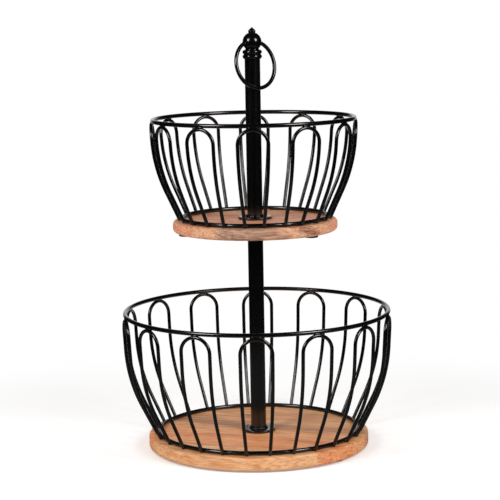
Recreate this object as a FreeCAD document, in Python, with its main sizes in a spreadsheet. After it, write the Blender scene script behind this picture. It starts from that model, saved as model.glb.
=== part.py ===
import FreeCAD, Part
import math
import os
import Sketcher

Vector = FreeCAD.Vector
Rotation = FreeCAD.Rotation
Placement = FreeCAD.Placement
UP = Vector(0, 0, 1)
AXIS_X = Vector(1, 0, 0)
AXIS_Y = Vector(0, 1, 0)
SAME_HEIGHT = 1e-6

# Driving dimensions: millimetres, degrees and counts
SIZES = {
    "foot_count": 3,
    "foot_azimuth": -41,
    "foot_height": 2,
    "foot_diameter": 15.5,
    "foot_edge_round": 0.8,
    "foot_boss_height": 1.5,
    "lower_base_diameter": 252,
    "lower_base_thickness": 15,
    "lower_base_round": 3,
    "upper_base_diameter": 186.4,
    "upper_base_thickness": 13,
    "upper_base_round": 4.5,
    "lower_rim_diameter": 300,
    "lower_rim_height": 139.9,
    "upper_rim_diameter": 227,
    "upper_rim_height": 113.2,
    "rim_wire": 4.8,
    "lower_ring_diameter": 227,
    "upper_ring_diameter": 164,
    "ring_wire": 4.8,
    "loop_wire": 4,
    "rim_weld_set": 0.3,
    "ring_weld_set": 0.8,
    "leg_end_gap": 0.3,
    "lower_loop_count": 14,
    "lower_loop_width": 34.5,
    "lower_loop_foot_width": 24.8,
    "lower_loop_outset": 1.2,
    "lower_loop_lean": 3,
    "lower_bend_drop": 55,
    "lower_bend_radius": 168,
    "upper_loop_count": 12,
    "upper_loop_width": 33,
    "upper_loop_foot_width": 19.2,
    "upper_loop_outset": 1.3,
    "upper_loop_lean": 4,
    "upper_bend_drop": 32,
    "upper_bend_radius": 165,
    "cage_thread": 4,
    "cage_nut_flats": 7,
    "cage_nut_height": 3.2,
    "cage_washer_diameter": 9,
    "cage_washer_thickness": 0.8,
    "cage_stud_end": 0.4,
    "nut_pocket_diameter": 12,
    "post_diameter": 17.5,
    "post_wall": 1.5,
    "lower_post_length": 229.4,
    "upper_post_length": 177,
    "flange_diameter": 38,
    "flange_thickness": 3,
    "flange_round": 0.8,
    "plug_length": 16,
    "post_thread": 6,
    "thread_engagement": 12,
    "bolt_head_diameter": 10.5,
    "bolt_head_height": 3.3,
    "bolt_socket_flats": 4,
    "bolt_socket_depth": 2,
    "bolt_recess": 1,
    "bolt_washer_diameter": 18,
    "bolt_washer_thickness": 1.6,
    "counterbore_diameter": 20,
    "hole_clearance": 0.3,
    "slip_clearance": 0.1,
    "collar_diameter": 22,
    "collar_height": 5,
    "collar_lift": 0.2,
    "groove_fill": 1.2,
    "neck_diameter": 15.1,
    "neck_bead": 1.8,
    "ball_diameter": 21.4,
    "ball_height": 19,
    "bud_diameter": 8.6,
    "bud_height": 1.16,
    "bud_bead": 1.8,
    "bud_step": 0.3,
    "shoulder_height": 1.45,
    "shoulder_diameter": 5.9,
    "tip_height": 1.75,
    "tip_diameter": 1.6,
    "handle_diameter": 53.6,
    "handle_wire": 4.4,
    "handle_azimuth": 38.8,
    "handle_clearance": 0.3,
    "handle_joint_gap": 0.5,
}

doc = FreeCAD.newDocument("tiered_wire_basket")
sizes = doc.addObject("Spreadsheet::Sheet", "sizes")
for row, (alias, number) in enumerate(SIZES.items(), start=1):
    sizes.set(f"A{row}", str(number))
    sizes.setAlias(f"A{row}", alias)
doc.recompute()

# Heights above the table, as formulas of the sheet
LOWER_BASE = "sizes.foot_height"
LOWER_TOP = f"({LOWER_BASE} + sizes.lower_base_thickness)"
LOWER_POST = f"({LOWER_TOP} + sizes.flange_thickness)"
UPPER_BASE = f"({LOWER_POST} + sizes.lower_post_length)"
UPPER_TOP = f"({UPPER_BASE} + sizes.upper_base_thickness)"
UPPER_POST = f"({UPPER_TOP} + sizes.flange_thickness)"
FINIAL = f"({UPPER_POST} + sizes.upper_post_length)"
BALL = f"({FINIAL} + sizes.ball_height)"

# Sizes that follow from how the pieces stack
NUT_STACK = "(sizes.cage_washer_thickness + sizes.cage_nut_height + sizes.cage_stud_end)"
POCKET_DEPTH = f"({NUT_STACK} + sizes.slip_clearance + sizes.foot_boss_height)"
COUNTERBORE = "(sizes.bolt_washer_thickness + sizes.bolt_head_height + sizes.bolt_recess)"
POST_BORE = "(sizes.post_diameter - 2 * sizes.post_wall)"
BOLT_HOLE = "(sizes.post_thread + 2 * sizes.hole_clearance)"
STUD_HOLE = "(sizes.cage_thread + 2 * sizes.hole_clearance)"
TAPPED_HOLE = "(sizes.post_thread + 2 * sizes.slip_clearance)"
NUT_BORE = "(sizes.cage_thread + 2 * sizes.slip_clearance)"
COLLARS_TOP = "(sizes.collar_lift + 2 * sizes.collar_height)"
BUD_TOP = "(sizes.ball_height + sizes.ball_diameter / 2 + sizes.bud_height)"
SHOULDER = f"({BUD_TOP} + sizes.bud_step * sizes.bud_bead)"
TAPER = f"({SHOULDER} + sizes.shoulder_height)"
# How far the curve of the handle's wire drops across half of the ball
HANDLE_SAG = "(sizes.handle_diameter - sqrt(sizes.handle_diameter ^ 2 - sizes.ball_diameter ^ 2)) / 2"
HANDLE_HOLE = f"(sizes.handle_wire + {HANDLE_SAG} + 2 * sizes.handle_clearance)"

nodes = []


def value(formula):
    """The number that a formula of the sheet's cells comes to."""
    result = sizes.evalExpression(formula)
    return float(getattr(result, "Value", result))


def node(label, thing):
    """Name a finished piece, so that it is checked and written out."""
    thing.Label = label
    nodes.append(thing)
    return thing


def bind(thing, **formulas):
    """Tie properties of a piece to formulas of the sheet."""
    for name, formula in formulas.items():
        thing.setExpression(name.replace("_at_", ".Base."), formula)


def cylinder(name, diameter, length, height):
    """An upright cylinder on the post's axis."""
    solid = doc.addObject("Part::Cylinder", name)
    bind(solid, Radius=f"({diameter}) / 2", Height=length, Placement_at_z=height)
    return solid


def torus(name, diameter, wire, height):
    """A closed wire ring round the post's axis."""
    ring = doc.addObject("Part::Torus", name)
    bind(ring, Radius1=f"{diameter} / 2", Radius2=f"{wire} / 2", Placement_at_z=height)
    return ring


def cut(name, base, tool):
    """One solid less another."""
    result = doc.addObject("Part::Cut", name)
    result.Base = base
    result.Tool = tool
    return result


def bored(name, diameter, bore, length, height):
    """A cylinder on the post's axis with a hole right through it."""
    outside = cylinder(f"{name}_outside", diameter, length, height)
    inside = cylinder(f"{name}_bore", bore, length, height)
    return cut(name, outside, inside)


def turned(thing, angle):
    """Another of the same piece, turned about the post's axis."""
    copy = doc.addObject("App::Link", f"{thing.Name}_copy")
    copy.LinkedObject = thing
    copy.Placement = Placement(Vector(), Rotation(UP, angle)) * thing.Placement
    return copy


def circle_sketch(body, name, diameter, out=None):
    """A circle on the underside of a body, on its axis or at a distance from it along X."""
    sketch = body.newObject("Sketcher::SketchObject", name)
    underside = next(plane for plane in body.Origin.OriginFeatures if plane.Role == "XY_Plane")
    sketch.AttachmentSupport = [(underside, "")]
    sketch.MapMode = "FlatFace"
    middle = Vector(value(out) if out else 0, 0, 0)
    circle = sketch.addGeometry(Part.Circle(middle, UP, value(diameter) / 2), False)
    origin_point, centre_point = (-1, 1), (circle, 3)
    across = sketch.addConstraint(Sketcher.Constraint("Diameter", circle, value(diameter)))
    sketch.setExpression(f"Constraints[{across}]", diameter)
    if out:
        x_axis = -1
        sketch.addConstraint(Sketcher.Constraint("PointOnObject", *centre_point, x_axis))
        distance = Sketcher.Constraint("DistanceX", *origin_point, *centre_point, middle.x)
        sketch.setExpression(f"Constraints[{sketch.addConstraint(distance)}]", out)
    else:
        sketch.addConstraint(Sketcher.Constraint("Coincident", *origin_point, *centre_point))
    return sketch


def pad(body, name, sketch, length, downwards=False):
    """Material raised from a sketch."""
    feature = body.newObject("PartDesign::Pad", name)
    feature.Profile = sketch
    feature.Reversed = downwards
    bind(feature, Length=length)
    doc.recompute()
    return feature


def pocket(body, name, sketch, depth):
    """A hole cut upwards from a sketch on the underside."""
    before = body.Shape.Volume
    feature = body.newObject("PartDesign::Pocket", name)
    feature.Profile = sketch
    feature.Reversed = True
    bind(feature, Length=depth)
    doc.recompute()
    if not body.Shape.Volume < before:
        raise RuntimeError(f"{name} cuts nothing")
    return feature


def round_edges(body, base, radius, height=None):
    """Round the circular edges of a feature, or only those at one height above the body's origin."""
    names = []
    for index, edge in enumerate(base.Shape.Edges, start=1):
        is_circle = isinstance(edge.Curve, Part.Circle)
        if is_circle and (height is None or abs(edge.Curve.Center.z - value(height)) < SAME_HEIGHT):
            names.append(f"Edge{index}")
    fillet = body.newObject("PartDesign::Fillet", f"{base.Name}_round")
    fillet.Base = (base, names)
    bind(fillet, Radius=radius)
    doc.recompute()
    return fillet


def wooden_base(tier, height):
    """A round wooden board with the holes for the post's bolt and the cage's studs."""
    thickness = f"sizes.{tier}_base_thickness"
    ring_radius = f"sizes.{tier}_ring_diameter / 2"
    body = node(f"{tier}_base", doc.addObject("PartDesign::Body", f"{tier}_base"))
    outline = circle_sketch(body, f"{tier}_base_outline", f"sizes.{tier}_base_diameter")
    board = pad(body, f"{tier}_board", outline, thickness)
    round_edges(body, board, f"sizes.{tier}_base_round")
    hole = circle_sketch(body, f"{tier}_bolt_circle", BOLT_HOLE)
    pocket(body, f"{tier}_bolt_hole", hole, thickness)
    if tier == "lower":
        seat = circle_sketch(body, "counterbore_circle", "sizes.counterbore_diameter")
        pocket(body, "counterbore", seat, COUNTERBORE)
    stud_circle = circle_sketch(body, f"{tier}_stud_circle", STUD_HOLE, ring_radius)
    stud_hole = pocket(body, f"{tier}_stud_hole", stud_circle, thickness)
    nut_circle = circle_sketch(body, f"{tier}_nut_circle", "sizes.nut_pocket_diameter", ring_radius)
    nut_pocket = pocket(body, f"{tier}_nut_pocket", nut_circle, POCKET_DEPTH)
    pattern = body.newObject("PartDesign::PolarPattern", f"{tier}_stud_pattern")
    pattern.Originals = [stud_hole, nut_pocket]
    pattern.Axis = (nut_circle, ["N_Axis"])
    pattern.Angle = 360
    bind(pattern, Occurrences="sizes.foot_count")
    body.Tip = pattern
    body.setExpression("Placement.Rotation.Angle", "sizes.foot_azimuth")
    bind(body, Placement_at_z=height)
    doc.recompute()


def loop_path(tier, rim_height, top):
    """The centre line of one hairpin loop at the front: leg, arch and leg, and its end and direction."""
    loop_radius = value("sizes.loop_wire / 2")
    half_width = value(f"sizes.{tier}_loop_width / 2")
    half_foot = value(f"sizes.{tier}_loop_foot_width / 2")
    lean = math.radians(value(f"sizes.{tier}_loop_lean"))
    rim_radius = value(f"sizes.{tier}_rim_diameter / 2")
    ring_radius = value(f"sizes.{tier}_ring_diameter / 2")
    ring_wire = value("sizes.ring_wire / 2")
    ring_height = value(top) + ring_wire
    foot_out = math.sqrt(ring_radius ** 2 - half_foot ** 2)

    # The arch's top lies against the underside of the rim, a little outboard of it
    outset = value(f"sizes.{tier}_loop_outset")
    rim_reach = loop_radius + value("sizes.rim_wire / 2 - sizes.rim_weld_set")
    arch_top = value(rim_height) - math.sqrt(rim_reach ** 2 - outset ** 2)

    # The legs stand in upright planes that close in towards the base, which sets the arch's splay
    arch_out = rim_radius + outset - half_width * math.tan(lean)
    inward = math.atan2(half_width - half_foot, arch_out - foot_out)
    rise_out = math.sin(lean) * math.cos(inward)
    rise_up = math.cos(lean)
    steep = math.hypot(rise_out, rise_up)
    splay = math.atan2(math.sin(lean) * math.sin(inward), steep)
    arch_rise = half_width * math.tan(splay) + half_width / math.cos(splay)
    arch_out = rim_radius + outset - arch_rise * rise_out / steep
    arch_foot = arch_top - arch_rise * rise_up / steep

    # In a leg's plane, along runs outwards from the base ring's centre line and up is the height
    reach = math.hypot(half_width - half_foot, arch_out - foot_out)
    drop = value(f"sizes.{tier}_bend_drop")
    corner_along = reach - drop * math.sin(lean)
    corner_up = arch_foot - drop * math.cos(lean)
    to_ring = math.hypot(corner_along, corner_up - ring_height)
    offset = loop_radius + ring_wire - value("sizes.ring_weld_set")
    tilt = math.atan2(corner_along, corner_up - ring_height) - math.asin(offset / to_ring)
    end_run = math.sqrt(to_ring ** 2 - offset ** 2)
    end_up = value(top) + value("sizes.leg_end_gap") + loop_radius * math.sin(tilt)
    end_run += (corner_up - end_run * math.cos(tilt) - end_up) / math.cos(tilt)
    half_turn = (tilt - lean) / 2
    bend = value(f"sizes.{tier}_bend_radius")
    run_in = bend * math.tan(half_turn)
    bend_depth = bend / math.cos(half_turn) - bend
    middle_tilt = (tilt + lean) / 2

    def spot(side, along, height):
        across = half_foot + (half_width - half_foot) * along / reach
        return Vector(side * across, -(foot_out + (arch_out - foot_out) * along / reach), height)

    def from_corner(side, distance, angle):
        return spot(side, corner_along + distance * math.sin(angle), corner_up + distance * math.cos(angle))

    def leg(side):
        end = from_corner(side, -end_run, tilt)
        bend_low = from_corner(side, -run_in, tilt)
        bend_middle = spot(side, corner_along - bend_depth * math.cos(middle_tilt),
                           corner_up + bend_depth * math.sin(middle_tilt))
        bend_high = from_corner(side, run_in, lean)
        shoulder = spot(side, reach, arch_foot)
        return [Part.LineSegment(end, bend_low), Part.Arc(bend_low, bend_middle, bend_high),
                Part.LineSegment(bend_high, shoulder)]

    crown = Vector(0, -(rim_radius + outset), arch_top)
    arch = Part.Arc(spot(-1, reach, arch_foot), crown, spot(1, reach, arch_foot))
    curves = leg(-1) + [arch] + leg(1)[::-1]
    start = from_corner(-1, -end_run, tilt)
    heading = from_corner(-1, -run_in, tilt) - start
    return Part.Wire(Part.sortEdges([curve.toShape() for curve in curves])[0]), start, heading


def wire_cage(tier, top):
    """A rim, a base ring and the hairpin loops welded between them."""
    rim_height = f"({top} + sizes.{tier}_rim_height)"
    ring_height = f"({top} + sizes.ring_wire / 2)"
    rim = torus(f"{tier}_rim", f"sizes.{tier}_rim_diameter", "sizes.rim_wire", rim_height)
    node(f"{tier}_rim", rim)
    ring = torus(f"{tier}_base_ring", f"sizes.{tier}_ring_diameter", "sizes.ring_wire", ring_height)
    node(f"{tier}_base_ring", ring)

    wire, start, heading = loop_path(tier, rim_height, top)
    path = doc.addObject("Part::Feature", f"{tier}_loop_path")
    path.Shape = wire
    section = doc.addObject("Part::Circle", f"{tier}_loop_section")
    section.Placement = Placement(start, Rotation(UP, heading))
    bind(section, Radius="sizes.loop_wire / 2")
    swept = doc.addObject("Part::Sweep", f"{tier}_loop_wire")
    swept.Sections = [section]
    swept.Spine = (path, [f"Edge{index + 1}" for index in range(len(wire.Edges))])
    swept.Solid = True
    at_rim = cut(f"{tier}_loop_at_rim", swept, rim)
    loop = node(f"{tier}_loop_01", cut(f"{tier}_loop", at_rim, ring))
    doc.recompute()
    count = round(value(f"sizes.{tier}_loop_count"))
    for index in range(1, count):
        node(f"{tier}_loop_{index + 1:02d}", turned(loop, 360 / count * index))
    return ring


def cage_fasteners(tier, height, top, ring):
    """Studs welded under the base ring, with their washers and nuts in the pockets under the board."""
    ceiling = f"({height} + {POCKET_DEPTH})"
    count = round(value("sizes.foot_count"))
    out = f"sizes.{tier}_ring_diameter / 2"
    spot_x = f"{out} * cos(sizes.foot_azimuth * 1 deg)"
    spot_y = f"{out} * sin(sizes.foot_azimuth * 1 deg)"
    washer_low = f"({ceiling} - sizes.cage_washer_thickness)"
    nut_low = f"({washer_low} - sizes.cage_nut_height)"
    stud_low = f"({nut_low} - sizes.cage_stud_end)"

    stud_length = f"{top} + sizes.ring_wire / 2 - {stud_low}"
    bar = cylinder(f"{tier}_stud_bar", "sizes.cage_thread", stud_length, stud_low)
    stud = cut(f"{tier}_stud", bar, ring)
    thickness = "sizes.cage_washer_thickness"
    disc = cylinder(f"{tier}_washer_disc", "sizes.cage_washer_diameter", thickness, washer_low)
    disc_hole = cylinder(f"{tier}_washer_hole", NUT_BORE, thickness, washer_low)
    washer = cut(f"{tier}_washer", disc, disc_hole)
    hexagon = doc.addObject("Part::Prism", f"{tier}_nut_hexagon")
    hexagon.Polygon = 6
    bind(hexagon, Circumradius="sizes.cage_nut_flats / (2 * cos(30 deg))", Height="sizes.cage_nut_height",
         Placement_at_z=nut_low)
    thread = cylinder(f"{tier}_nut_thread", NUT_BORE, "sizes.cage_nut_height", nut_low)
    nut = cut(f"{tier}_nut", hexagon, thread)
    for solid in (bar, disc, disc_hole, hexagon, thread):
        bind(solid, Placement_at_x=spot_x, Placement_at_y=spot_y)
    doc.recompute()

    for name, piece in (("studs", stud), ("washers", washer), ("nuts", nut)):
        group = node(f"{tier}_cage_{name}", doc.addObject("Part::Compound", f"{tier}_cage_{name}"))
        group.Links = [piece] + [turned(piece, 360 / count * index) for index in range(1, count)]


def feet(tier, height):
    """Rubber feet that plug the nut pockets under a board."""
    body = node(f"{tier}_foot_1", doc.addObject("PartDesign::Body", f"{tier}_foot"))
    disc = pad(body, f"{tier}_foot_disc", circle_sketch(body, f"{tier}_foot_circle", "sizes.foot_diameter"),
               "sizes.foot_height", downwards=True)
    round_edges(body, disc, "sizes.foot_edge_round", "-sizes.foot_height")
    boss = circle_sketch(body, f"{tier}_boss_circle", "sizes.nut_pocket_diameter - 2 * sizes.slip_clearance")
    pad(body, f"{tier}_foot_boss", boss, "sizes.foot_boss_height")
    around = Rotation(UP, value("sizes.foot_azimuth"))
    out = Vector(value(f"sizes.{tier}_ring_diameter / 2"), 0, 0)
    body.Placement = Placement(around.multVec(out), around)
    bind(body, Placement_at_z=height)
    doc.recompute()
    count = round(value("sizes.foot_count"))
    for index in range(1, count):
        node(f"{tier}_foot_{index + 1}", turned(body, 360 / count * index))


def post_section(tier, height):
    """A flange on a board, the tube that stands on it and the tube's two tapped end plugs."""
    flange = node(f"{tier}_flange", doc.addObject("PartDesign::Body", f"{tier}_flange"))
    thickness = "sizes.flange_thickness"
    outline = circle_sketch(flange, f"{tier}_flange_circle", "sizes.flange_diameter")
    disc = pad(flange, f"{tier}_flange_disc", outline, thickness)
    round_edges(flange, disc, "sizes.flange_round", thickness)
    hole = circle_sketch(flange, f"{tier}_flange_bolt_circle", BOLT_HOLE)
    pocket(flange, f"{tier}_flange_hole", hole, thickness)
    bind(flange, Placement_at_z=f"{height} - {thickness}")
    length = f"sizes.{tier}_post_length"
    node(f"{tier}_post", bored(f"{tier}_post", "sizes.post_diameter", POST_BORE, length, height))
    plug_diameter = f"{POST_BORE} - 2 * sizes.slip_clearance"
    plug_heights = {"bottom": height, "top": f"{height} + {length} - sizes.plug_length"}
    for end, plug_height in plug_heights.items():
        plug = bored(f"{tier}_{end}_plug", plug_diameter, TAPPED_HOLE, "sizes.plug_length", plug_height)
        node(f"{tier}_post_{end}_plug", plug)


def post_fasteners():
    """The lower post's bolt and washer, and the stud that joins the posts through the upper board."""
    ceiling = f"({LOWER_BASE} + {COUNTERBORE})"
    washer_low = f"({ceiling} - sizes.bolt_washer_thickness)"
    head_low = f"({washer_low} - sizes.bolt_head_height)"
    washer = bored("base_bolt_washer", "sizes.bolt_washer_diameter", BOLT_HOLE,
                   "sizes.bolt_washer_thickness", washer_low)
    node("base_bolt_washer", washer)
    head = cylinder("bolt_head", "sizes.bolt_head_diameter", "sizes.bolt_head_height", head_low)
    shank = cylinder("bolt_shank", "sizes.post_thread",
                     f"{LOWER_POST} + sizes.thread_engagement - {washer_low}", washer_low)
    blank = doc.addObject("Part::Fuse", "bolt_blank")
    blank.Base = head
    blank.Tool = shank
    socket = doc.addObject("Part::Prism", "bolt_socket")
    socket.Polygon = 6
    bind(socket, Circumradius="sizes.bolt_socket_flats / (2 * cos(30 deg))",
         Height="sizes.bolt_socket_depth", Placement_at_z=head_low)
    node("base_bolt", cut("base_bolt", blank, socket))
    stud_low = f"{UPPER_BASE} - sizes.thread_engagement"
    stud_length = f"{UPPER_POST} - {UPPER_BASE} + 2 * sizes.thread_engagement"
    node("joining_stud", cylinder("joining_stud", "sizes.post_thread", stud_length, stud_low))


def finial():
    """The turned top piece: threaded shank, two collars, beaded neck, cross-drilled ball and bud."""
    body = node("finial", doc.addObject("PartDesign::Body", "finial"))
    half_collar = "sizes.collar_height / 2"

    def add(kind, name, height, **formulas):
        feature = body.newObject(f"PartDesign::{kind}", name)
        bind(feature, Placement_at_z=height, **formulas)
        return feature

    collar_middle = f"(sizes.collar_diameter / 2 - {half_collar})"
    add("AdditiveCylinder", "finial_core", "0", Radius=f"{collar_middle} + sizes.groove_fill",
        Height=f"{COLLARS_TOP} - {half_collar}")
    add("AdditiveCylinder", "finial_shank", "-sizes.thread_engagement", Radius="sizes.post_thread / 2",
        Height="sizes.thread_engagement + sizes.collar_lift")
    for index, name in enumerate(("low_collar", "high_collar")):
        add("AdditiveTorus", name, f"sizes.collar_lift + {index} * sizes.collar_height + {half_collar}",
            Radius1=collar_middle, Radius2=half_collar)
    add("AdditiveCylinder", "finial_neck", "0", Radius="sizes.neck_diameter / 2", Height="sizes.ball_height")
    add("AdditiveTorus", "neck_bead", COLLARS_TOP,
        Radius1="sizes.neck_diameter / 2 - sizes.neck_bead / 4", Radius2="sizes.neck_bead / 2")
    add("AdditiveSphere", "ball", "sizes.ball_height", Radius="sizes.ball_diameter / 2")
    bud_radius = "(sizes.bud_diameter / 2 - sizes.bud_step)"
    add("AdditiveCylinder", "bud", "sizes.ball_height", Radius=bud_radius,
        Height=f"{BUD_TOP} - sizes.ball_height")
    add("AdditiveTorus", "bud_bead", BUD_TOP, Radius1="(sizes.bud_diameter - sizes.bud_bead) / 2",
        Radius2="sizes.bud_bead / 2")
    add("AdditiveCone", "bud_shoulder", SHOULDER, Radius1=bud_radius,
        Radius2="sizes.shoulder_diameter / 2", Height="sizes.shoulder_height")
    add("AdditiveCone", "bud_taper", TAPER, Radius1="sizes.shoulder_diameter / 2",
        Radius2="sizes.tip_diameter / 2", Height="sizes.tip_height")
    add("AdditiveSphere", "bud_tip", f"{TAPER} + sizes.tip_height", Radius="sizes.tip_diameter / 2")
    doc.recompute()
    before = body.Shape.Volume
    across = Rotation(UP, value("sizes.handle_azimuth"))
    drill = body.newObject("PartDesign::SubtractiveCylinder", "cross_hole")
    start = across.multVec(Vector(value("-sizes.ball_diameter"), 0, 0)) + UP * value("sizes.ball_height")
    drill.Placement = Placement(start, across * Rotation(AXIS_Y, 90))
    bind(drill, Radius=f"{HANDLE_HOLE} / 2", Height="2 * sizes.ball_diameter")
    bind(body, Placement_at_z=FINIAL)
    doc.recompute()
    if not body.Shape.Volume < before:
        raise RuntimeError("the cross hole cuts nothing")


def ring_handle():
    """The ring through the ball, hanging just in front of the post, its butt joint hidden in the ball."""
    centre_radius = value("sizes.handle_diameter / 2")
    hang = centre_radius - value(HANDLE_SAG) / 2
    clear_of_post = value("(sizes.post_diameter + sizes.handle_wire) / 2 + sizes.handle_clearance")
    tilt = math.degrees(math.asin(clear_of_post / (hang + centre_radius)))
    swing = Rotation(UP, value("sizes.handle_azimuth")) * Rotation(AXIS_X, -tilt)
    gap_angle = "sizes.handle_joint_gap / (pi * sizes.handle_diameter) * 360"
    upright = Rotation(AXIS_X, 90) * Rotation(UP, 90 + value(gap_angle) / 2)
    ring = node("ring_handle", doc.addObject("Part::Torus", "ring_handle"))
    bind(ring, Radius1="sizes.handle_diameter / 2", Radius2="sizes.handle_wire / 2",
         Angle3=f"360 - {gap_angle}")
    ring.Placement = Placement(UP * value(BALL) + swing.multVec(UP * -hang), swing * upright)


def write_parts():
    """Check every object and every piece, then write one file for each piece."""
    doc.recompute()
    for thing in doc.Objects:
        if "Invalid" in thing.State or "Error" in thing.State:
            raise RuntimeError(f"{thing.Label} failed: {thing.State}")
    for piece in nodes:
        if piece.Shape.isNull() or not piece.Shape.isValid():
            raise RuntimeError(f"{piece.Label} has no valid shape")
    os.makedirs("parts", exist_ok=True)
    for piece in nodes:
        piece.Shape.exportStep(f"parts/{piece.Label}.step")
        print(piece.Label, "solids", len(piece.Shape.Solids), "volume", round(piece.Shape.Volume, 1))


wooden_base("lower", LOWER_BASE)
wooden_base("upper", UPPER_BASE)
lower_ring = wire_cage("lower", LOWER_TOP)
upper_ring = wire_cage("upper", UPPER_TOP)
cage_fasteners("lower", LOWER_BASE, LOWER_TOP, lower_ring)
cage_fasteners("upper", UPPER_BASE, UPPER_TOP, upper_ring)
feet("lower", LOWER_BASE)
feet("upper", UPPER_BASE)
post_section("lower", LOWER_POST)
post_section("upper", UPPER_POST)
post_fasteners()
finial()
ring_handle()
write_parts()
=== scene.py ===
import math

import bpy
from mathutils import Matrix, Vector


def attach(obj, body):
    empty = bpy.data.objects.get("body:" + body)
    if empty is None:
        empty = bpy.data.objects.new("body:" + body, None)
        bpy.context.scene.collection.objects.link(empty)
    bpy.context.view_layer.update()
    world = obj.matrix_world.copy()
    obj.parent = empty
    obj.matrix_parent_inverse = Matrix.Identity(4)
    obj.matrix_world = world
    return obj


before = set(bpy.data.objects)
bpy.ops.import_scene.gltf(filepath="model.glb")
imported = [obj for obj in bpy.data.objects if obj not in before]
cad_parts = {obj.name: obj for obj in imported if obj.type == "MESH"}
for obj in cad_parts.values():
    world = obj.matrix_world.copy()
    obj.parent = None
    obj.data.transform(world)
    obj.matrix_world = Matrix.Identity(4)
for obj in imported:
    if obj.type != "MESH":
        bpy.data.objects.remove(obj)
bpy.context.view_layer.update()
scene = bpy.context.scene
MM = 0.001
UP = Vector((0, 0, 1))

# The cages' wires as the solids have them: millimetres and degrees
RIM_WIRE_RADIUS = 2.4
RING_WIRE_RADIUS = 2.4
LOOP_WIRE_RADIUS = 2.0
POST_RADIUS = 8.75
FRONT = -90
TIERS = {
    "lower": {
        "loops": 14,
        "rim": (150.0, 156.9),
        "ring": (113.5, 19.4),
        "crown_turn": 17.02,
        "leg_angle": 6.31,
        "leg_lean": 26.73,
        "flange_top": 20.0,
    },
    "upper": {
        "loops": 12,
        "rim": (113.5, 375.6),
        "ring": (82.0, 264.8),
        "crown_turn": 18.47,
        "leg_angle": 6.97,
        "leg_lean": 24.66,
        "flange_top": 265.4,
    },
}

# Weld beads, in millimetres: how deep each sits in its groove, its length and width, and how lumpy it is.
# A rim's beads lie beside the crown by a share of the loop wire's radius.
RIM_WELD = {"set": 0.15, "aside": 0.5, "length": 9.5, "width": 2.0, "lumps": 0.25, "seed": 3}
RING_WELD = {"set": 0.35, "reach": 1.95, "width": 1.5, "lumps": 0.2, "seed": 5}
POST_WELD = {"set": 0.4, "width": 3.0, "lumps": 0.12, "ripples": 40.0}

# The photograph's camera, fitted to the rims and boards
LENS = 125.09
SENSOR = 36.0
CAMERA_PLACE = Vector((14.75, -1952.7, 509.96)) * MM
CAMERA_PITCH, CAMERA_ROLL, CAMERA_YAW = (math.radians(angle) for angle in (8.257, -1.023, -0.620))


class Wire:
    """An output socket that takes part in arithmetic: each operation adds a Math node."""

    def __init__(self, nodes, socket):
        self.nodes = nodes
        self.socket = socket

    def __add__(self, other):
        return self.nodes.math("ADD", self, other)

    def __sub__(self, other):
        return self.nodes.math("SUBTRACT", self, other)

    def __rsub__(self, other):
        return self.nodes.math("SUBTRACT", other, self)

    def __mul__(self, other):
        return self.nodes.math("MULTIPLY", self, other)

    def __truediv__(self, other):
        return self.nodes.math("DIVIDE", self, other)

    def __pow__(self, other):
        return self.nodes.math("POWER", self, other)

    def __abs__(self):
        return self.nodes.math("ABSOLUTE", self)

    __radd__ = __add__
    __rmul__ = __mul__


class Nodes:
    """A node tree in the making."""

    def __init__(self, tree):
        self.tree = tree

    def node(self, kind, settings=None, inputs=None, output=0):
        """Any node: its type, its settings, which are set first, and the values or links of its sockets."""
        made = self.tree.nodes.new(kind)
        for name, setting in (settings or {}).items():
            if name == "stops":
                self.set_stops(made.color_ramp, setting)
            else:
                setattr(made, name, setting)
        for key, value in (inputs or {}).items():
            socket = self.find(made.inputs, key)
            if isinstance(value, Wire):
                self.tree.links.new(value.socket, socket)
            else:
                socket.default_value = value
        if not made.outputs:
            return made
        return Wire(self, self.find(made.outputs, output))

    @staticmethod
    def find(sockets, key):
        """A socket by its number or its identifier."""
        if isinstance(key, int):
            return sockets[key]
        return next(s for s in sockets if s.identifier == key)

    @staticmethod
    def set_stops(ramp, stops):
        ramp.interpolation = "CONSTANT"
        while len(ramp.elements) < len(stops):
            ramp.elements.new(1.0)
        for element, (place, colour) in zip(ramp.elements, stops):
            element.position = place
            element.color = colour

    def sibling(self, wire, output):
        """Another output of the node that a wire comes from."""
        return Wire(self, self.find(wire.socket.node.outputs, output))

    def math(self, operation, *values):
        return self.node("ShaderNodeMath", {"operation": operation}, dict(enumerate(values)))

    def noise(self, vector, scale=1.0, detail=2.0, roughness=0.5):
        return self.node("ShaderNodeTexNoise", {"noise_dimensions": "3D"},
                         {"Vector": vector, "Scale": scale, "Detail": detail, "Roughness": roughness})

    def stretched(self, vector, scales):
        return self.node("ShaderNodeVectorMath", {"operation": "MULTIPLY"}, {0: vector, 1: scales})

    def length(self, vector):
        return self.node("ShaderNodeVectorMath", {"operation": "LENGTH"}, {0: vector}, "Value")

    def parts(self, vector):
        """A vector's three numbers."""
        first = self.node("ShaderNodeSeparateXYZ", None, {0: vector})
        return first, self.sibling(first, 1), self.sibling(first, 2)

    def step(self, value, low, high):
        """A smooth step from 0 at low to 1 at high."""
        return self.node("ShaderNodeMapRange", {"interpolation_type": "SMOOTHSTEP"},
                         {"Value": value, "From Min": low, "From Max": high})

    def mix(self, factor, first, second, blend="MIX"):
        return self.node("ShaderNodeMix", {"data_type": "RGBA", "blend_type": blend},
                         {"Factor_Float": factor, "A_Color": first, "B_Color": second}, "Result_Color")

    def bump(self, height, strength, distance):
        return self.node("ShaderNodeBump", None, {"Height": height, "Strength": strength, "Distance": distance})

    def place(self):
        """Where a point is on its object, which is where it is in the frame."""
        return self.node("ShaderNodeTexCoord", None, None, "Object")

    def facing(self):
        return self.node("ShaderNodeNewGeometry", None, None, "Normal")


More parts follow.
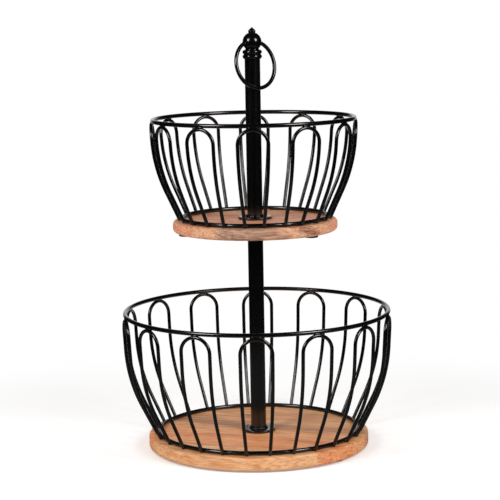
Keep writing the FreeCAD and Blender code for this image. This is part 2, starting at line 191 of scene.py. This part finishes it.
def tone(red, green, blue):
    """A colour written as it looks, 0 to 255, as the linear colour that a shader takes."""
    def linear(value):
        value /= 255
        return value / 12.92 if value <= 0.04045 else ((value + 0.055) / 1.055) ** 2.4
    return (linear(red), linear(green), linear(blue), 1.0)


def new_material(name):
    material = bpy.data.materials.new(name)
    material.use_nodes = True
    material.node_tree.nodes.clear()
    return material, Nodes(material.node_tree)


def surface(nodes, shader):
    nodes.node("ShaderNodeOutputMaterial", None, {"Surface": shader})


# The middle of a pattern's values
MIDDLE = 0.5
# Wood: the grain's patterns as cycles per metre along, across and up, with each one's detail and roughness
GRAIN = {
    "wander": ((7, 30, 40), 3, 0.5),
    "streak": ((9, 70, 330), 4, 0.6),
    "cloud": ((6, 20, 40), 2, 0.5),
    "mottle": ((34, 100, 190), 3, 0.6),
    "fibre": ((55, 1300, 1500), 3, 0.6),
    "pores": ((170, 2300, 2500), 1, 0.5),
    "heart": ((8, 40, 60), 3, 0.5),
}
DASH_DETAIL, DASH_ROUGHNESS = 2, 0.6
VEIN_PITCH, VEIN_DETAIL, VEIN_ROUGHNESS = (1.2, 1.5, 5.0), 3, 0.6
# Between which values each pattern goes from none to full
EDGES = {
    "late_wood": (0.2, 0.88),
    "ring_end": (0.90, 1.0),
    "streak": (0.42, 0.72),
    "pores": (0.64, 0.74),
    "dark_mottle": (0.5, 0.8),
    "pale_mottle": (0.5, 0.2),
    "dark_dashes": (0.48, 0.68),
    "pale_dashes": (0.48, 0.28),
    "stain": (0.2, 1.15),
    "veins": (0.30, 0.50),
    "glue": (0.00008, 0.00030),
}
# How far each figure colours the wood, its tone, and how the tone is laid on
TINTS = {
    "cloud": (0.5, tone(246, 214, 182), "MULTIPLY"),
    "stain": (0.8, tone(118, 62, 40), "MIX"),
    "streak": (0.40, tone(206, 164, 128), "MULTIPLY"),
    "dark_mottle": (0.6, tone(216, 178, 148), "MULTIPLY"),
    "pale_mottle": (0.35, tone(250, 222, 186), "MIX"),
    "late_wood": (0.24, tone(208, 168, 130), "MULTIPLY"),
    "fibre": (0.5, tone(200, 170, 145), "MULTIPLY"),
    "end_grain": (0.08, tone(230, 180, 146), "MULTIPLY"),
    "pores": (0.45, tone(104, 68, 44), "MIX"),
    "glue": (0.5, tone(124, 82, 52), "MIX"),
}
HEART_SHARE, HEART_CORE = 0.8, 0.1
DARK_DASH, PALE_DASH = tone(188, 138, 102), tone(252, 220, 184)
FIBRE_REST = 0.35
STAIN_RAGGED = 1.2
WOOD_ROUGHNESS = 0.46
ROUGHER = {"streak": 0.08, "fibre": 0.10, "pores": 0.15}
RELIEF = {"fibre": 0.45, "late_wood": 0.25, "pores": 0.8, "glue": 0.8}
WOOD_BUMP = (0.35, 0.00018)
WOOD_SPECULAR = 0.4
# The staves' own shifts of the pattern and the rings' sizes, in metres
STAVE_LUCK = (7.31, 0.5)
STAVE_SHIFT = (3.0, 0.4, 0.4)
STAVE_PITH = 0.05
BOARD_REACH = 0.14
RING_SPACING = 0.0036
RING_WANDER = 0.014
HEART_WANDER = 0.030


def glued_wood(name, turn, joints, tones, pith, heart, stain, dash):
    """Oiled hardwood glued up from staves: the grain runs along the staves, which lie at an angle to X."""
    material, n = new_material(name)
    turn = math.radians(turn)
    grain = n.node("ShaderNodeMapping", None, {"Vector": n.place(), "Rotation": (0, 0, -turn)})
    along, across, height = n.parts(grain)

    # Which stave a point is in, and that stave's own shift of the pattern
    share = (across + BOARD_REACH) / (2 * BOARD_REACH)
    starts = [0.0] + [(joint * MM + BOARD_REACH) / (2 * BOARD_REACH) for joint in joints]
    stave_tone = n.node("ShaderNodeValToRGB", {"stops": list(zip(starts, tones))}, {"Fac": share})
    levels = [index / len(starts) for index in range(len(starts))]
    greys = [(start, (level, level, level, 1)) for start, level in zip(starts, levels)]
    stave = n.node("ShaderNodeValToRGB", {"stops": greys}, {"Fac": share})
    luck = n.node("ShaderNodeTexWhiteNoise", {"noise_dimensions": "1D"},
                  {"W": stave * STAVE_LUCK[0] + STAVE_LUCK[1]}, "Color")
    own = n.node("ShaderNodeVectorMath", {"operation": "MULTIPLY_ADD"}, {0: luck, 1: STAVE_SHIFT, 2: grain})

    def figure(pattern):
        pitch, detail, roughness = GRAIN[pattern]
        return n.noise(n.stretched(own, pitch), detail=detail, roughness=roughness)

    def edged(value, pattern):
        return n.step(value, *EDGES[pattern])

    # Growth rings about a far pith, so that they lie nearly flat at the front edge
    aside = across - pith["across"] * MM - along * pith["slant"] + (stave - MIDDLE) * STAVE_PITH
    above = height - pith["height"] * MM + (figure("wander") - MIDDLE) * RING_WANDER
    ring = n.math("FRACT", ((aside ** 2 + above ** 2) ** 0.5) / RING_SPACING)
    late = edged(ring, "late_wood") * (1 - edged(ring, "ring_end"))

    streak = edged(figure("streak"), "streak")
    cloud = figure("cloud")
    mottle = figure("mottle")
    dashes = n.noise(n.stretched(own, dash["pitch"]), detail=DASH_DETAIL, roughness=DASH_ROUGHNESS)
    fibre = figure("fibre")
    pores = edged(figure("pores"), "pores")
    heart_off = across + along * heart["slant"] - heart["at"] * MM + (figure("heart") - MIDDLE) * HEART_WANDER
    heart_wood = 1 - n.step(abs(heart_off), HEART_CORE * heart["width"] * MM, heart["width"] * MM)

    # One mineral stain: a dark lens that lies at a slant in the board
    lens = n.node("ShaderNodeMapping", {"vector_type": "TEXTURE"},
                  {"Vector": grain, "Location": [part * MM for part in stain["at"]],
                   "Rotation": (0, math.radians(stain["tilt"]), 0),
                   "Scale": [part * MM for part in stain["size"]]})
    veins = n.noise(n.stretched(lens, VEIN_PITCH), detail=VEIN_DETAIL, roughness=VEIN_ROUGHNESS)
    ragged = n.length(lens) + (mottle - MIDDLE) * STAIN_RAGGED
    stained = (1 - edged(ragged, "stain")) * edged(veins, "veins")

    # End grain drinks more of the finish, so it is darker where the surface faces along the staves
    end = n.node("ShaderNodeVectorMath", {"operation": "DOT_PRODUCT"},
                 {0: n.facing(), 1: (math.cos(turn), math.sin(turn), 0)}, "Value") ** 2

    # The glue lines
    nearest = abs(across - joints[0] * MM)
    for joint in joints[1:]:
        nearest = n.math("MINIMUM", nearest, abs(across - joint * MM))
    glue = 1 - edged(nearest, "glue")

    # The figures' tones, laid one over another on the tone of the stave
    tints = TINTS | {
        "heart": (HEART_SHARE, heart["tone"], "MIX"),
        "dark_dashes": (dash["dark"], DARK_DASH, "MULTIPLY"),
        "pale_dashes": (dash["pale"], PALE_DASH, "MIX"),
    }
    layers = {
        "cloud": cloud,
        "heart": heart_wood,
        "stain": stained,
        "streak": streak,
        "dark_mottle": edged(mottle, "dark_mottle"),
        "pale_mottle": edged(mottle, "pale_mottle"),
        "dark_dashes": edged(dashes, "dark_dashes"),
        "pale_dashes": edged(dashes, "pale_dashes"),
        "late_wood": late,
        "fibre": fibre - FIBRE_REST,
        "end_grain": end,
        "pores": pores,
        "glue": glue,
    }
    colour = stave_tone
    for layer, where in layers.items():
        strength, shade, blend = tints[layer]
        colour = n.mix(where * strength, colour, shade, blend)

    rough = WOOD_ROUGHNESS + streak * ROUGHER["streak"] + fibre * ROUGHER["fibre"] + pores * ROUGHER["pores"]
    raised = fibre * RELIEF["fibre"] + late * RELIEF["late_wood"]
    relief = raised - pores * RELIEF["pores"] - glue * RELIEF["glue"]
    shader = n.node("ShaderNodeBsdfPrincipled", None, {
        "Base Color": colour,
        "Roughness": rough,
        "Normal": n.bump(relief, *WOOD_BUMP),
        "Specular IOR Level": WOOD_SPECULAR,
    })
    surface(n, shader)
    return material


# Black coat: its patterns as cycles per metre, where each begins and ends, its tones and its gloss
COAT_CLOUD, COAT_FLECK, COAT_DUST, COAT_PEEL = 38, 2600, 90, 700
FLECK_EDGES, DUST_EDGES, UPWARD_EDGES = (0.66, 0.78), (0.42, 0.75), (0.55, 1.0)
COAT_TONES = (tone(2, 2, 2), tone(6, 5, 6))
FLECK_SHARE, FLECK_TONE = 0.25, tone(20, 19, 19)
DUST_SHARE, DUST_TONE = 0.16, tone(62, 58, 54)
COAT_ROUGHNESS, CLOUD_ROUGHER, DUST_ROUGHER = 0.15, 0.06, 0.10
PEEL_BUMP = (0.05, 0.00005)
COAT_SPECULAR = 0.7
# Zinc plate and rubber, in the same way
ZINC_BLOOM, ZINC_MARKS = 120, (2500, 2500, 160)
BLOOM_EDGES = (0.35, 0.7)
ZINC_TONES = (tone(205, 208, 214), tone(214, 204, 176))
ZINC_ROUGHNESS, MARKS_ROUGHER = 0.26, 0.2
MARKS_BUMP = (0.2, 0.00005)
RUBBER_GRAIN, RUBBER_BLOOM = 1500, 160
RUBBER_TONES = (tone(24, 24, 24), tone(48, 47, 46))
RUBBER_ROUGHNESS, GRAIN_ROUGHER = 0.62, 0.25
GRAIN_BUMP = (0.4, 0.00008)
RUBBER_SPECULAR = 0.3


def powder_coat(name):
    """Black powder coat: a fine orange peel, small changes of gloss, and dust on what faces up."""
    material, n = new_material(name)
    place = n.place()
    cloud = n.noise(place, COAT_CLOUD, detail=3, roughness=0.6)
    fleck = n.step(n.noise(place, COAT_FLECK, detail=1), *FLECK_EDGES)
    upward = n.step(n.parts(n.facing())[2], *UPWARD_EDGES)
    dust = upward * n.step(n.noise(place, COAT_DUST, detail=4, roughness=0.7), *DUST_EDGES)
    colour = n.mix(cloud, *COAT_TONES)
    colour = n.mix(fleck * FLECK_SHARE, colour, FLECK_TONE)
    colour = n.mix(dust * DUST_SHARE, colour, DUST_TONE)
    shader = n.node("ShaderNodeBsdfPrincipled", None, {
        "Base Color": colour,
        "Roughness": COAT_ROUGHNESS + cloud * CLOUD_ROUGHER + dust * DUST_ROUGHER,
        "Normal": n.bump(n.noise(place, COAT_PEEL, detail=1), *PEEL_BUMP),
        "Specular IOR Level": COAT_SPECULAR,
    })
    surface(n, shader)
    return material


def zinc_plate(name):
    """Bright zinc plate with a faint yellow and blue bloom and fine drawing marks."""
    material, n = new_material(name)
    place = n.place()
    bloom = n.noise(place, ZINC_BLOOM, detail=2)
    marks = n.noise(n.stretched(place, ZINC_MARKS), detail=2)
    shader = n.node("ShaderNodeBsdfPrincipled", None, {
        "Base Color": n.mix(n.step(bloom, *BLOOM_EDGES), *ZINC_TONES),
        "Metallic": 1.0,
        "Roughness": ZINC_ROUGHNESS + marks * MARKS_ROUGHER,
        "Normal": n.bump(marks, *MARKS_BUMP),
    })
    surface(n, shader)
    return material


def moulded_rubber(name):
    """Matt black rubber with a fine moulded grain and a grey bloom."""
    material, n = new_material(name)
    place = n.place()
    grain = n.noise(place, RUBBER_GRAIN, detail=3)
    bloom = n.noise(place, RUBBER_BLOOM, detail=3)
    shader = n.node("ShaderNodeBsdfPrincipled", None, {
        "Base Color": n.mix(bloom, *RUBBER_TONES),
        "Roughness": RUBBER_ROUGHNESS + grain * GRAIN_ROUGHER,
        "Normal": n.bump(grain, *GRAIN_BUMP),
        "Specular IOR Level": RUBBER_SPECULAR,
    })
    surface(n, shader)
    return material


BLACK = powder_coat("black_powder_coat")
FINISHES = {
    "black_coat": BLACK,
    "zinc_steel": zinc_plate("bright_zinc"),
    "rubber": moulded_rubber("black_rubber"),
}
# Each board's staves in millimetres and degrees, one tone more than it has joints
BOARDS = {
    "lower_base": glued_wood(
        "lower_board_wood",
        turn=-20,
        joints=(-79.3, -26.3, 26.7, 79.7),
        tones=(tone(239, 188, 137), tone(243, 169, 114), tone(245, 184, 131), tone(238, 184, 136),
               tone(244, 195, 150)),
        pith={"across": -112, "height": -260, "slant": 0.03},
        heart={"at": 20, "width": 22, "slant": 0.0, "tone": tone(192, 144, 110)},
        stain={"at": (-30, 62, 15), "tilt": 4, "size": (19, 16, 4.6)},
        dash={"pitch": (22, 300, 560), "dark": 0.42, "pale": 0.4},
    ),
    "upper_base": glued_wood(
        "upper_board_wood",
        turn=7,
        joints=(-52, 0, 52),
        tones=(tone(230, 181, 146), tone(238, 174, 141), tone(234, 174, 136), tone(238, 190, 154)),
        pith={"across": -40, "height": 170, "slant": -0.06},
        heart={"at": -93.5, "width": 11.5, "slant": 0.16, "tone": tone(146, 116, 100)},
        stain={"at": (50, -78, 256.5), "tilt": 16, "size": (27, 18, 6.5)},
        dash={"pitch": (60, 420, 600), "dark": 0.7, "pale": 0.3},
    ),
}
for name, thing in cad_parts.items():
    slot = thing.data.materials[0].name
    thing.data.materials[0] = BOARDS.get(name) or FINISHES[slot]


# Weld beads: how far they vary, how they are shaped, and how their meshes are divided
LUMP_PITCH = 900
BEAD_SPREAD = ((0.86, 0.9, 0.9), (1.14, 1.1, 1.1))
CROSSING_START, CROSSING_SWEEP = math.radians(-22), math.radians(224)
SADDLE = 0.22
TAPER = (-0.02, 0.16)
RIPPLE_DEPTH = 0.05
SEAM_SEGMENTS, SEAM_RINGS = 14, 9
CROSSING_POINTS, CROSSING_SIDES = 13, 8
FOOT_POINTS, FOOT_SIDES = 220, 12


def weld_tree(name, sizes, build):
    """A Geometry Nodes tree with named sizes that turns a mesh of places into welded beads."""
    tree = bpy.data.node_groups.new(name, "GeometryNodeTree")
    tree.interface.new_socket("Places", in_out="INPUT", socket_type="NodeSocketGeometry")
    for label, kind in sizes.items():
        tree.interface.new_socket(label, in_out="INPUT", socket_type=kind)
    tree.interface.new_socket("Beads", in_out="OUTPUT", socket_type="NodeSocketGeometry")
    n = Nodes(tree)
    first = n.node("NodeGroupInput")
    given = {socket.name: Wire(n, socket) for socket in first.socket.node.outputs if socket.name}
    beads = n.node("GeometryNodeRealizeInstances", None, {0: build(n, given)})
    lumps = n.noise(n.node("GeometryNodeInputPosition"), LUMP_PITCH, detail=1) - MIDDLE
    along_normal = n.node("ShaderNodeVectorMath", {"operation": "SCALE"},
                          {0: n.node("GeometryNodeInputNormal"), "Scale": lumps * given["Lumps"]})
    beads = n.node("GeometryNodeSetPosition", None, {"Geometry": beads, "Offset": along_normal})
    beads = n.node("GeometryNodeSetShadeSmooth", None, {"Geometry": beads})
    beads = n.node("GeometryNodeSetMaterial", None, {"Geometry": beads, "Material": BLACK})
    n.node("NodeGroupOutput", None, {0: beads})
    return tree


def place_beads(n, given, bead):
    """One bead on each place, lying along its seam and facing out of it."""
    lie = n.node("GeometryNodeInputNamedAttribute", {"data_type": "FLOAT_VECTOR"}, {"Name": "lie"})
    face = n.node("GeometryNodeInputNamedAttribute", {"data_type": "FLOAT_VECTOR"}, {"Name": "face"})
    turn = n.node("FunctionNodeAxesToRotation", {"primary_axis": "Z", "secondary_axis": "X"},
                  {"Primary Axis": face, "Secondary Axis": lie})
    spread = n.node("FunctionNodeRandomValue", {"data_type": "FLOAT_VECTOR"},
                    {"Min": BEAD_SPREAD[0], "Max": BEAD_SPREAD[1], "Seed": given["Seed"]})
    return n.node("GeometryNodeInstanceOnPoints", None,
                  {"Points": given["Places"], "Instance": bead, "Rotation": turn, "Scale": spread})


def seam_bead(n, given):
    """A long low bead in the groove between two wires that run side by side."""
    ball = n.node("GeometryNodeMeshUVSphere", None,
                  {"Segments": SEAM_SEGMENTS, "Rings": SEAM_RINGS, "Radius": 1.0})
    half_width = given["Width"] / 2
    size = n.node("ShaderNodeCombineXYZ", None, {0: given["Length"] / 2, 1: half_width, 2: half_width})
    upright = n.node("FunctionNodeAxesToRotation", {"primary_axis": "Z", "secondary_axis": "Y"},
                     {"Primary Axis": (1, 0, 0), "Secondary Axis": (0, 1, 0)})
    lying = n.node("GeometryNodeTransform", None, {"Geometry": ball, "Rotation": upright})
    bead = n.node("GeometryNodeTransform", None, {"Geometry": lying, "Scale": size})
    return place_beads(n, given, bead)


def crossing_bead(n, given):
    """A bead round three sides of a leg where it crosses the base ring."""
    arc = n.node("GeometryNodeCurveArc", None,
                 {"Resolution": CROSSING_POINTS, "Radius": given["Reach"], "Start Angle": CROSSING_START,
                  "Sweep Angle": CROSSING_SWEEP})
    aside, ahead, _ = n.parts(n.node("GeometryNodeInputPosition"))
    saddle = (aside ** 2 - ahead ** 2) / given["Reach"] * SADDLE
    arc = n.node("GeometryNodeSetPosition", None,
                 {"Geometry": arc, "Offset": n.node("ShaderNodeCombineXYZ", None, {2: saddle})})
    run = n.node("GeometryNodeSplineParameter")
    from_end = 0.5 - abs(run - 0.5)
    taper = n.step(from_end, *TAPER)
    section = n.node("GeometryNodeCurvePrimitiveCircle", None,
                     {"Resolution": CROSSING_SIDES, "Radius": given["Width"] / 2})
    bead = n.node("GeometryNodeCurveToMesh", None,
                  {"Curve": arc, "Profile Curve": section, "Scale": taper, "Fill Caps": True})
    return place_beads(n, given, bead)


def foot_bead(n, given):
    """A rippled fillet weld right round the foot of a post."""
    ring = n.node("GeometryNodeCurvePrimitiveCircle", None, {"Resolution": FOOT_POINTS, "Radius": given["Reach"]})
    run = n.node("GeometryNodeSplineParameter")
    ripple = n.math("SINE", run * given["Ripples"] * math.tau) * RIPPLE_DEPTH + 1
    section = n.node("GeometryNodeCurvePrimitiveCircle", None,
                     {"Resolution": FOOT_SIDES, "Radius": given["Width"] / 2})
    bead = n.node("GeometryNodeCurveToMesh", None, {"Curve": ring, "Profile Curve": section, "Scale": ripple})
    return n.node("GeometryNodeInstanceOnPoints", None, {"Points": given["Places"], "Instance": bead})


FLOAT, WHOLE = "NodeSocketFloat", "NodeSocketInt"
SEAM = weld_tree("seam_beads", {"Length": FLOAT, "Width": FLOAT, "Lumps": FLOAT, "Seed": WHOLE}, seam_bead)
CROSSING = weld_tree("crossing_beads", {"Reach": FLOAT, "Width": FLOAT, "Lumps": FLOAT, "Seed": WHOLE},
                     crossing_bead)
FOOT = weld_tree("foot_beads", {"Reach": FLOAT, "Width": FLOAT, "Lumps": FLOAT, "Ripples": FLOAT}, foot_bead)


def grown(name, tree, places, values):
    """Run a weld tree on places, each a point with its seam's direction and its facing, and keep a plain mesh."""
    mesh = bpy.data.meshes.new(name)
    mesh.from_pydata([place for place, lie, face in places], [], [])
    for label, index in (("lie", 1), ("face", 2)):
        attribute = mesh.attributes.new(label, "FLOAT_VECTOR", "POINT")
        for item, place in zip(attribute.data, places):
            item.vector = place[index]
    piece = bpy.data.objects.new(name, mesh)
    scene.collection.objects.link(piece)
    modifier = piece.modifiers.new("beads", "NODES")
    modifier.node_group = tree
    for item in tree.interface.items_tree:
        if item.name in values:
            modifier[item.identifier] = values[item.name]
    graph = bpy.context.evaluated_depsgraph_get()
    result = bpy.data.meshes.new_from_object(piece.evaluated_get(graph), preserve_all_data_layers=True,
                                             depsgraph=graph)
    piece.modifiers.remove(modifier)
    piece.data = result
    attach(piece, "stand")


def loop_turns(count):
    """The azimuths of a cage's loops, the first at the front."""
    return [math.radians(FRONT + 360 / count * index) for index in range(count)]


def bearing(angle):
    """The outward and sideways directions at an azimuth."""
    outward = Vector((math.cos(angle), math.sin(angle), 0))
    return outward, UP.cross(outward)


def rim_weld_places(tier):
    """The grooves on both sides of each loop's crown, where it lies against the rim."""
    radius, height = tier["rim"]
    turn = math.radians(tier["crown_turn"])
    depth, aside = RIM_WIRE_RADIUS - RIM_WELD["set"], LOOP_WIRE_RADIUS * RIM_WELD["aside"]
    places = []
    for angle in loop_turns(tier["loops"]):
        outward, sideways = bearing(angle)
        to_crown = outward * math.sin(turn) - UP * math.cos(turn)
        to_side = outward * math.cos(turn) + UP * math.sin(turn)
        for side in (1, -1):
            groove = to_crown * depth + to_side * aside * side
            spot = outward * radius + UP * height + groove
            places.append((spot * MM, sideways, to_side * side))
    return places


def ring_weld_places(tier):
    """Where each leg crosses the outside of the base ring."""
    radius, height = tier["ring"]
    lean = math.radians(tier["leg_lean"])
    places = []
    for angle in loop_turns(tier["loops"]):
        for side in (1, -1):
            outward, sideways = bearing(angle + side * math.radians(tier["leg_angle"]))
            facing = outward * math.cos(lean) - UP * math.sin(lean)
            spot = outward * radius + UP * height + facing * (RING_WIRE_RADIUS - RING_WELD["set"])
            places.append((spot * MM, sideways, facing))
    return places


for tier_name, tier in TIERS.items():
    grown(f"{tier_name}_rim_welds", SEAM, rim_weld_places(tier),
          {"Length": RIM_WELD["length"] * MM, "Width": RIM_WELD["width"] * MM, "Lumps": RIM_WELD["lumps"] * MM,
           "Seed": RIM_WELD["seed"]})
    grown(f"{tier_name}_ring_welds", CROSSING, ring_weld_places(tier),
          {"Reach": RING_WELD["reach"] * MM, "Width": RING_WELD["width"] * MM, "Lumps": RING_WELD["lumps"] * MM,
           "Seed": RING_WELD["seed"]})
    foot = (UP * (tier["flange_top"] + POST_WELD["set"]) * MM, Vector((1, 0, 0)), UP)
    grown(f"{tier_name}_post_weld", FOOT, [foot],
          {"Reach": (POST_RADIUS + POST_WELD["set"]) * MM, "Width": POST_WELD["width"] * MM,
           "Lumps": POST_WELD["lumps"] * MM, "Ripples": POST_WELD["ripples"]})


# Studio: how bright the room lights the object, how dim it is in gloss, and where along Y the backdrop begins
WHITE = (1, 1, 1, 1)
AMBIENT = 0.45
DIM_ROOM = 0.012
BACKDROP = (0.88, 0.97)
# The floor, in metres: its tone, how far it is lifted to white, and where the shadow fades out
FLOOR_RADIUS, FLOOR_CORNERS = 8.0, 96
FLOOR_TONE = tone(244, 243, 242)
FLOOR_LIFT = 0.26
FLOOR_GLOSS = 0.85
SHADOW_FADE = (0.24, 0.60)
# The lamps, in metres and watts
LAMP_SIZE = (0.55, 0.65)
LAMP_POWER = 15
LAMP_DISTANCE = 1.7
LAMP_ELEVATION = math.radians(29)
LAMP_AZIMUTHS = {"left_softbox": math.radians(-49), "right_softbox": math.radians(49)}
LAMP_TARGET = UP * 0.24


def studio_shown(n, behind):
    """Which rays see the studio, which of them in gloss, and how bright it is to them.

    It is white to the camera and through glass. In gloss it is white on the backdrop straight behind the object and
    dim in the rest of the room.
    """
    path = n.node("ShaderNodeLightPath", None, None, "Is Camera Ray")
    gloss = n.sibling(path, "Is Glossy Ray")
    seen = n.math("MAXIMUM", n.math("MAXIMUM", path, gloss), n.sibling(path, "Is Transmission Ray"))
    return seen, gloss, 1 - gloss * (1 - behind) * (1 - DIM_ROOM)


def white_world():
    """A white room that lights the object softly from all round."""
    world = bpy.data.worlds.new("white_studio")
    scene.world = world
    world.use_nodes = True
    world.node_tree.nodes.clear()
    n = Nodes(world.node_tree)
    aback = n.parts(n.node("ShaderNodeTexCoord", None, None, "Generated"))[1]
    seen, gloss, level = studio_shown(n, n.step(aback, *BACKDROP))
    lit = n.node("ShaderNodeBackground", None, {"Color": WHITE, "Strength": AMBIENT})
    shown = n.node("ShaderNodeBackground", None, {"Color": WHITE, "Strength": level})
    n.node("ShaderNodeOutputWorld", None,
           {"Surface": n.node("ShaderNodeMixShader", None, {0: seen, 1: lit, 2: shown})})


def white_floor():
    """A pale floor that keeps the shadow near the object and runs into the white further out."""
    material, n = new_material("pale_floor")
    place = n.place()
    distance = n.length(place)
    seen, gloss, level = studio_shown(n, n.step(n.parts(place)[1] / distance, *BACKDROP))
    matt = n.node("ShaderNodeBsdfDiffuse", None, {"Color": FLOOR_TONE})
    lift = n.node("ShaderNodeEmission", None, {"Color": WHITE, "Strength": FLOOR_LIFT})
    lifted = n.node("ShaderNodeAddShader", None, {0: matt, 1: lift})
    near = n.node("ShaderNodeMixShader", None, {0: seen - gloss, 1: matt, 2: lifted})
    white = n.node("ShaderNodeEmission", None, {"Color": WHITE, "Strength": 1.0})
    far = n.node("ShaderNodeMixShader", None, {0: level, 2: white})
    plain = seen * n.math("MAXIMUM", gloss * FLOOR_GLOSS, n.step(distance, *SHADOW_FADE))
    surface(n, n.node("ShaderNodeMixShader", None, {0: plain, 1: near, 2: far}))
    turns = [math.tau * index / FLOOR_CORNERS for index in range(FLOOR_CORNERS)]
    points = [(FLOOR_RADIUS * math.cos(turn), FLOOR_RADIUS * math.sin(turn), 0) for turn in turns]
    mesh = bpy.data.meshes.new("floor")
    mesh.from_pydata(points, [], [list(range(FLOOR_CORNERS))])
    mesh.materials.append(material)
    floor = bpy.data.objects.new("floor", mesh)
    scene.collection.objects.link(floor)


def softbox(name, azimuth):
    """A soft lamp that faces the middle of the object: azimuth 0 is the camera's side."""
    lamp = bpy.data.lights.new(name, "AREA")
    lamp.shape = "RECTANGLE"
    lamp.size, lamp.size_y = LAMP_SIZE
    lamp.energy = LAMP_POWER
    reach = math.cos(LAMP_ELEVATION)
    back = Vector((math.sin(azimuth) * reach, -math.cos(azimuth) * reach, math.sin(LAMP_ELEVATION)))
    thing = bpy.data.objects.new(name, lamp)
    thing.matrix_world = Matrix.LocRotScale(LAMP_TARGET + back * LAMP_DISTANCE, back.to_track_quat("Z", "Y"), None)
    scene.collection.objects.link(thing)


def photo_camera():
    """The camera that the photograph was taken with, as it was fitted."""
    data = bpy.data.cameras.new("photo_view")
    data.sensor_width = SENSOR
    data.lens = LENS
    ahead = Vector((math.sin(CAMERA_YAW), math.cos(CAMERA_YAW), 0))
    level = Vector((math.cos(CAMERA_YAW), -math.sin(CAMERA_YAW), 0))
    forward = ahead * math.cos(CAMERA_PITCH) - UP * math.sin(CAMERA_PITCH)
    above = level.cross(forward)
    right = level * math.cos(CAMERA_ROLL) + above * math.sin(CAMERA_ROLL)
    upward = above * math.cos(CAMERA_ROLL) - level * math.sin(CAMERA_ROLL)
    turn = Matrix((right, upward, -forward)).transposed()
    camera = bpy.data.objects.new("photo_view", data)
    camera.matrix_world = Matrix.LocRotScale(CAMERA_PLACE, turn.to_quaternion(), None)
    scene.collection.objects.link(camera)
    scene.camera = camera


white_world()
white_floor()
for lamp_name, lamp_azimuth in LAMP_AZIMUTHS.items():
    softbox(lamp_name, lamp_azimuth)
photo_camera()
scene.view_settings.view_transform = "Standard"
